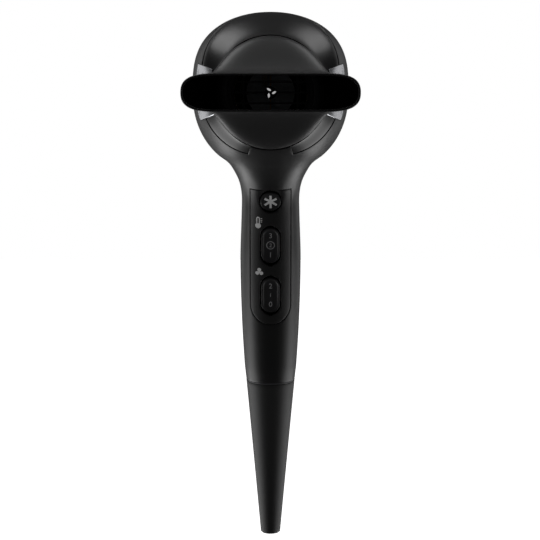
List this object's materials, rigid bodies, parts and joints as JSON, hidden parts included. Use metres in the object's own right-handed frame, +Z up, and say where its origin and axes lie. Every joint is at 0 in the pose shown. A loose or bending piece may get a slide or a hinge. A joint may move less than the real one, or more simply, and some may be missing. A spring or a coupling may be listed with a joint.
{
  "type": "hand-held hair dryer",
  "caption": "Pistol hair dryer with a wide flat concentrator nozzle, glossy bezel, leaning handle with cold-shot button and two rockers, and a tapered tail.",
  "frame": {"origin": "middle of the grip, on the handle's centre line", "axes": "+Z up along the height, -Y the way the nozzle points, +X to the right seen from the nozzle"},
  "size_m": [0.0904, 0.202, 0.2953],
  "materials": {
    "shell_plastic": "satin black",
    "bezel_plastic": "gloss black",
    "trim_metal": "satin chrome plate",
    "nozzle_plastic": "satin black",
    "panel_plastic": "matt black",
    "control_plastic": "semi-gloss black",
    "ink": "printed pale grey",
    "tail_rubber": "soft matt black",
    "gland_rubber": "matt",
    "barrel_plastic": "moulded",
    "grille_plastic": "moulded",
    "mica": "pressed mica board",
    "heater_wire": "oxidised resistance wire",
    "steel": "plated",
    "magnet": "sintered ferrite",
    "nylon": "natural nylon",
    "bronze": "sintered bronze",
    "carbon": "moulded phenolic",
    "copper": "enamelled copper",
    "fan_plastic": "moulded",
    "board": "solder resist",
    "capacitor_case": "moulded",
    "lead_insulation": "silicone",
    "mesh_steel": "woven wire"
  },
  "bodies": {
    "housing": {"front_shell": "shell_plastic", "rear_shell": "shell_plastic", "bezel": "bezel_plastic", "side_trims": "trim_metal", "switch_panel": "panel_plastic", "seam_ring": "panel_plastic", "tail_sleeve": "tail_rubber", "cord_gland": "gland_rubber", "barrel": "barrel_plastic", "outlet_spigot": "barrel_plastic", "outlet_grille": "grille_plastic", "mica_sleeve": "mica", "mica_boards": "mica", "heater_winding": "heater_wire", "thermostat": "nylon", "thermal_fuse": "steel", "fan_duct": "barrel_plastic", "motor_can": "steel", "motor_magnets": "magnet", "motor_end_plate": "nylon", "motor_bearings": "bronze", "brush_holder": "carbon", "intake_guard": "grille_plastic", "temperature_switch": "nylon", "speed_switch": "nylon", "cold_shot_switch": "carbon", "rocker_pins": "steel", "button_spring": "steel", "control_board": "board", "capacitor": "capacitor_case", "heater_leads": "lead_insulation", "shell_screws": "steel", "cord_clamp": "grille_plastic", "clamp_screws": "steel"},
    "rotor": {"motor_shaft": "steel", "armature": "copper", "commutator": "copper", "fan": "fan_plastic", "fan_clip": "steel"},
    "collar": {"nozzle_collar": "nozzle_plastic"},
    "concentrator": {"nozzle": "nozzle_plastic", "nozzle_skirt": "nozzle_plastic", "nozzle_ring": "nozzle_plastic"},
    "cold_button": {"cold_shot_button": "control_plastic"},
    "heat_rocker": {"temperature_rocker": "control_plastic"},
    "fan_rocker": {"speed_rocker": "control_plastic"},
    "rear_cap": {"filter_cap": "shell_plastic", "filter_mesh": "mesh_steel", "filter_frame": "grille_plastic"}
  },
  "joints": [
    {"name": "fan_spin", "type": "hinge", "parent": "housing", "child": "rotor", "pos_m": [0, 0, 0.1], "axis": [0, 1, 0], "continuous": true},
    {"name": "nozzle_pull", "type": "slide", "parent": "housing", "child": "collar", "axis": [0, -1, 0], "range_m": [0, 0.028]},
    {"name": "nozzle_turn", "type": "hinge", "parent": "collar", "child": "concentrator", "pos_m": [0, 0, 0.1], "axis": [0, 1, 0], "continuous": true},
    {"name": "cold_shot_press", "type": "slide", "parent": "housing", "child": "cold_button", "axis": [0, 0.9278, 0.3731], "range_m": [0, 0.0018], "stiffness_N_per_m": 600, "springref_m": -0.002, "deforming": ["button_spring"]},
    {"name": "temperature_rock", "type": "hinge", "parent": "housing", "child": "heat_rocker", "pos_m": [0, -0.01763, 0.01796], "axis": [1, 0, 0], "range_deg": [-9, 9]},
    {"name": "speed_rock", "type": "hinge", "parent": "housing", "child": "fan_rocker", "pos_m": [0, -0.00992, -0.01012], "axis": [1, 0, 0], "range_deg": [-9, 9]},
    {"name": "filter_cap_pull", "type": "slide", "parent": "housing", "child": "rear_cap", "axis": [0, 1, 0], "range_m": [0, 0.03]}
  ]
}
